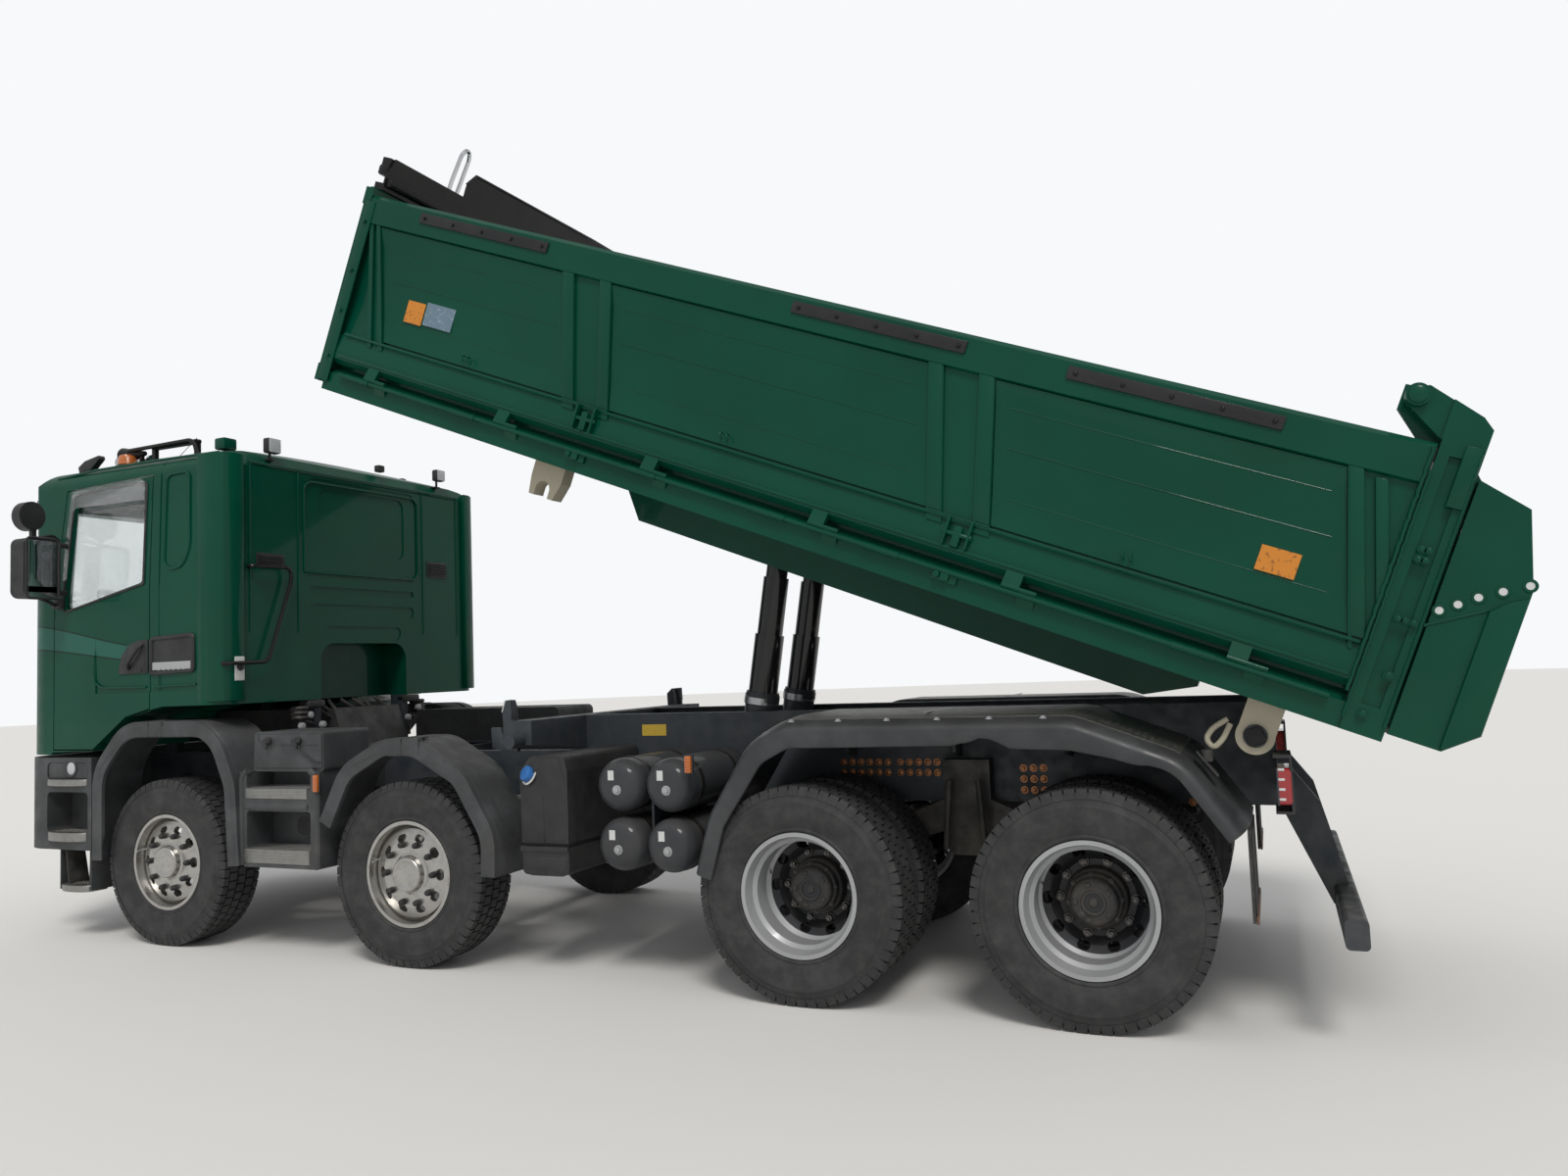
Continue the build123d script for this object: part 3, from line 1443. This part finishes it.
# Tipping body: floor pan on its cross-members and two long bearers
BEARER_Y = 475
BEARER_T = 70
BEARER_W = -30
CROSS_LOW_W = 135
SILL_HALF = 1262
SOCKET_R = 94
SOCKET_WALL = 18
SOCKET_DEEP = 50
with BuildPart() as body_floor:
    with BuildSketch(body_cross(-420)):
        with Locations((0, FLOOR_W - FLOOR_T / 2)):
            Rectangle(2 * FLOOR_EDGE, FLOOR_T)
    extrude(amount=BODY_FRONT_U - 60 + 420)
    # side sills, folded channel
    with BuildSketch(body_cross(-420)):
        with BuildLine():
            Polyline(
                (FLOOR_EDGE, FLOOR_W),
                (FLOOR_EDGE, 300),
                (SILL_HALF, 255),
                (SILL_HALF, SILL_W),
                (SILL_HALF - 70, SILL_W),
                (SILL_HALF - 70, SILL_W + 8),
                (SILL_HALF - 8, SILL_W + 8),
                (SILL_HALF - 8, 249),
                (FLOOR_EDGE - 8, 295),
                (FLOOR_EDGE - 8, FLOOR_W),
                close=True,
            )
        make_face()
    extrude(amount=BODY_FRONT_U - 60 + 420)
    # long bearers, cut back ahead for the front cross-beam
    with BuildSketch(body_side(BEARER_Y + BEARER_T)):
        with BuildLine():
            Polyline(
                (300, FLOOR_W - FLOOR_T),
                (300, 90),
                (520, BEARER_W),
                (3480, BEARER_W),
                (3620, CROSS_LOW_W),
                (BODY_FRONT_U - 60, CROSS_LOW_W + 60),
                (BODY_FRONT_U - 60, FLOOR_W - FLOOR_T),
                close=True,
            )
        make_face()
    extrude(amount=BEARER_T)
    mirror(about=Plane.XZ)
    # cross-members with tapered ends
    for u in (-410, -30, 420, 900, 1380, 1860, 2340, 3060, 3540, 3754, 4250, 4750, 5290):
        with BuildSketch(body_cross(u)):
            with BuildLine():
                Polyline(
                    (-SILL_HALF + 8, 245),
                    (-SILL_HALF + 8, SILL_W + 8),
                    (-700, CROSS_LOW_W + 4),
                    (700, CROSS_LOW_W + 4),
                    (SILL_HALF - 8, SILL_W + 8),
                    (SILL_HALF - 8, 245),
                    (FLOOR_EDGE - 8, 288),
                    (FLOOR_EDGE - 8, FLOOR_W - FLOOR_T),
                    (-FLOOR_EDGE + 8, FLOOR_W - FLOOR_T),
                    (-FLOOR_EDGE + 8, 288),
                    close=True,
                )
            make_face()
        extrude(amount=60)
    # drop-side hinge eyes outside the sills
    for y in (1, -1):
        for u in HINGE_U:
            with BuildSketch(body_cross(u)):
                with Locations((y * DROP_HINGE_Y, DROP_HINGE_W)):
                    Circle(HINGE_EYE_R)
                with BuildLine():
                    Polyline(
                        (y * (SILL_HALF - 2), 245),
                        (y * (SILL_HALF - 2), 205),
                        (y * (DROP_HINGE_Y + 8), DROP_HINGE_W - 6),
                        (y * (DROP_HINGE_Y - 9), DROP_HINGE_W - 4),
                        close=True,
                    )
                make_face()
            extrude(amount=HINGE_EYE_LEN)
    # socket rings for the heads of the presses
    for y in (PRESS_Y, -PRESS_Y):
        socket = hinge + U * PRESS_U + Vector(0, y, 0) + W * (FLOOR_W - FLOOR_T)
        with BuildSketch(Plane(origin=socket, x_dir=(0, 1, 0), z_dir=-W)):
            Circle(SOCKET_R)
            Circle(SOCKET_R - SOCKET_WALL, mode=Mode.SUBTRACT)
        extrude(amount=SOCKET_DEEP)
save(body_floor, "body_floor")

# Pivot castings: rear cups round the pivot tube's ends and open saddles over the front stubs
CUP_R = 78
with BuildPart() as pivot_cups:
    for y in (HINGE_Y + CUP_HALF, -HINGE_Y + CUP_HALF):
        with BuildSketch(body_side(y)):
            Circle(CUP_R)
            with Locations((0, 110)):
                Rectangle(150, 220)
            Circle(PIVOT_BALL_R + 0.4, mode=Mode.SUBTRACT)
        extrude(amount=2 * CUP_HALF)
    for y in (STUB_Y + STUB_HALF, -STUB_Y + STUB_HALF):
        with BuildSketch(body_side(y)):
            with BuildLine():
                Polyline(
                    (FRONT_PIVOT_U - 110, 60),
                    (FRONT_PIVOT_U - 80, -42),
                    (FRONT_PIVOT_U + 80, -42),
                    (FRONT_PIVOT_U + 95, 60),
                    (FRONT_PIVOT_U + 95, 220),
                    (FRONT_PIVOT_U - 110, 220),
                    close=True,
                )
            make_face()
            with Locations((FRONT_PIVOT_U, 0)):
                Circle(STUB_R + 8, mode=Mode.SUBTRACT)
            with Locations((FRONT_PIVOT_U, -40)):
                Rectangle(2 * STUB_R + 16, 80, mode=Mode.SUBTRACT)
        extrude(amount=2 * STUB_HALF)
    add(body_floor.part, mode=Mode.SUBTRACT)
save(pivot_cups, "pivot_cups")

# Headboard with its corner posts, ribs and the dark guard on top
POST_U = 60
with BuildPart() as headboard:
    with BuildSketch(body_cross(BODY_FRONT_U - POST_U)):
        with BuildLine():
            Polyline(
                (-BODY_HALF, SILL_W + 60),
                (-BODY_HALF + 90, SILL_W),
                (BODY_HALF - 90, SILL_W),
                (BODY_HALF, SILL_W + 60),
                (BODY_HALF, RAIL_TOP_W + 45),
                (-BODY_HALF, RAIL_TOP_W + 45),
                close=True,
            )
        make_face()
    extrude(amount=25)
    for y in (-1200, -600, 0, 600, 1200):
        with BuildSketch(body_cross(BODY_FRONT_U - POST_U + 25)):
            with Locations((y, (SILL_W + RAIL_TOP_W) / 2 + 30)):
                Rectangle(130, RAIL_TOP_W - SILL_W - 40)
        extrude(amount=POST_U - 25)
    for w in (SILL_W + 90, RAIL_TOP_W - 10):
        with BuildSketch(body_cross(BODY_FRONT_U - POST_U + 25)):
            with Locations((0, w)):
                Rectangle(2 * BODY_HALF, 100)
        extrude(amount=POST_U - 25)
save(headboard, "headboard")

with BuildPart() as cab_guard:
    with BuildSketch(body_cross(BODY_FRONT_U - 90)):
        with BuildLine():
            Polyline(
                (1240, RAIL_TOP_W + 45),
                (1240, RAIL_TOP_W + 130),
                (1200, RAIL_TOP_W + 240),
                (600, RAIL_TOP_W + 240),
                (600, RAIL_TOP_W + 310),
                (540, RAIL_TOP_W + 390),
                (-800, RAIL_TOP_W + 420),
                (-1240, RAIL_TOP_W + 420),
                (-1240, RAIL_TOP_W + 45),
                close=True,
            )
        make_face()
    extrude(amount=12)
    with BuildSketch(body_cross(BODY_FRONT_U - 78)):
        with Locations((0, RAIL_TOP_W + 65)):
            Rectangle(2480, 40)
        with Locations((950, RAIL_TOP_W + 210)):
            Rectangle(560, 50)
    extrude(amount=60)
save(cab_guard, "cab_guard")

# Rear corner posts with their bearing arms and the tailgate's pins
POST_REAR_U = -425
POST_FRONT_U = -270
with BuildPart() as rear_posts:
    with BuildSketch(body_side(BODY_HALF)):
        with BuildLine():
            Polyline(
                (POST_REAR_U, SILL_W),
                (POST_REAR_U, RAIL_TOP_W + 90),
                (-380, RAIL_TOP_W + 130),
                (-170, RAIL_TOP_W + 210),
                (-105, RAIL_TOP_W + 190),
                (-100, RAIL_TOP_W + 130),
                (POST_FRONT_U, RAIL_TOP_W + 15),
                (POST_FRONT_U, SILL_W),
                close=True,
            )
        make_face()
    extrude(amount=BODY_HALF - WALL_INNER)
    # slim the arm and open the post's outer channel
    with BuildSketch(body_side(BODY_HALF + 1)):
        with Locations(((POST_REAR_U + POST_FRONT_U) / 2, 770)):
            Rectangle(70, 1000)
        with Locations((-150, 1440)):
            Rectangle(230, 230)
    extrude(amount=18, mode=Mode.SUBTRACT)
    with BuildSketch(body_side(BODY_HALF + 16)):
        with Locations((GATE_PIN_U, GATE_PIN_W)):
            Circle(GATE_PIN_R + 22)
    extrude(amount=60)
    with BuildSketch(body_side(BODY_HALF + 16)):
        with Locations((GATE_PIN_U, GATE_PIN_W)):
            Circle(GATE_PIN_R)
    extrude(amount=BODY_HALF + 16 - GATE_ARM_IN)
    mirror(about=Plane.XZ)
    add(body_floor.part, mode=Mode.SUBTRACT)
save(rear_posts, "rear_posts")

# Tailgate: bulged rear panel between two cheeks, hung on arms from the pins
CHEEK_T = 14
with BuildPart() as tailgate:
    with BuildSketch(body_side(BODY_HALF)):
        with BuildLine():
            Polyline(*GATE_OUTER, *GATE_INNER, close=True)
        make_face()
    extrude(amount=2 * BODY_HALF)
    for y in (BODY_HALF, -BODY_HALF + CHEEK_T):
        with BuildSketch(body_side(y)):
            with BuildLine():
                Polyline(*GATE_OUTER, close=True)
            make_face()
        extrude(amount=CHEEK_T)
    for y in (GATE_ARM_OUT, -GATE_ARM_IN):
        with BuildSketch(body_side(y)):
            with BuildLine():
                Polyline(
                    (-500, 1150),
                    (-470, 1200),
                    (GATE_PIN_U - 50, 1520),
                    (GATE_PIN_U + 50, 1520),
                    (GATE_PIN_U + 50, 1420),
                    (GATE_FACE_U - 10, 1080),
                    (-540, 1080),
                    close=True,
                )
            make_face()
            with Locations((GATE_PIN_U, GATE_PIN_W)):
                Circle(GATE_PIN_R + 0.5, mode=Mode.SUBTRACT)
        extrude(amount=GATE_ARM_OUT - GATE_ARM_IN)
save(tailgate, "tailgate")

# Drop sides: pressed panel with slanted stakes, hinged along its lower edge
LOWER_RAIL_W = 500
UPPER_RAIL_W = 1150
PANEL_Y = 1225
STAKE_Y = 1252
RIDGE_Y = 1270
# columns: u of each stake's rear and front edge at the lower rail, then at the upper rail
STAKES = (
    (3396, 3692, 3616, 3935),
    (1294, 1598, 1496, 1821),
    (4998, 5114, 5269, 5351),
    (WALL_REAR_U, -205, WALL_REAR_U, 17),
)
with BuildPart() as side_wall_left:
    with BuildSketch(body_cross(WALL_REAR_U)):
        with BuildLine():
            Polyline(
                (WALL_INNER, WALL_BOTTOM_W),
                (1240, WALL_BOTTOM_W),
                (1272, 345),
                (1272, 400),
                (1260, 480),
                (1240, LOWER_RAIL_W),
                (PANEL_Y - 3, 700),
                (PANEL_Y + 3, 960),
                (1246, 1140),
                (BODY_HALF, UPPER_RAIL_W),
                (BODY_HALF, RAIL_TOP_W - 20),
                (BODY_HALF - 20, RAIL_TOP_W),
                (WALL_INNER, RAIL_TOP_W),
                close=True,
            )
        make_face()
    extrude(amount=BODY_FRONT_U - POST_U - 6 - WALL_REAR_U)
    for low_a, low_b, high_a, high_b in STAKES:
        with BuildSketch(body_side(STAKE_Y)):
            with BuildLine():
                Polyline(
                    (low_a, LOWER_RAIL_W - 30),
                    (low_b, LOWER_RAIL_W - 30),
                    (high_b, UPPER_RAIL_W + 10),
                    (high_a, UPPER_RAIL_W + 10),
                    close=True,
                )
            make_face()
        extrude(amount=STAKE_Y - PANEL_Y + 6)
        ridge = (low_b - low_a) / 4
        for start, end in ((low_a, high_a), (low_b - ridge, high_b - ridge)):
            with BuildSketch(body_side(RIDGE_Y)):
                with BuildLine():
                    Polyline(
                        (start, LOWER_RAIL_W - 40),
                        (start + ridge, LOWER_RAIL_W - 40),
                        (end + ridge, UPPER_RAIL_W + 12),
                        (end, UPPER_RAIL_W + 12),
                        close=True,
                    )
                make_face()
            extrude(amount=RIDGE_Y - PANEL_Y)
    # hinge eyes beside those of the floor
    for u in HINGE_U:
        with BuildSketch(body_cross(u + HINGE_EYE_LEN + SEAT_GAP)):
            with Locations((DROP_HINGE_Y, DROP_HINGE_W)):
                Circle(HINGE_EYE_R)
            with BuildLine():
                Polyline(
                    (DROP_HINGE_Y - 10, DROP_HINGE_W + 4),
                    (1245, 318),
                    (1270, 360),
                    (DROP_HINGE_Y + 9, DROP_HINGE_W + 6),
                    close=True,
                )
            make_face()
        extrude(amount=HINGE_EYE_LEN)
with BuildPart() as side_wall_right:
    mirror(side_wall_left.part, about=Plane.XZ)
save(side_wall_left, "side_wall_left")
save(side_wall_right, "side_wall_right")
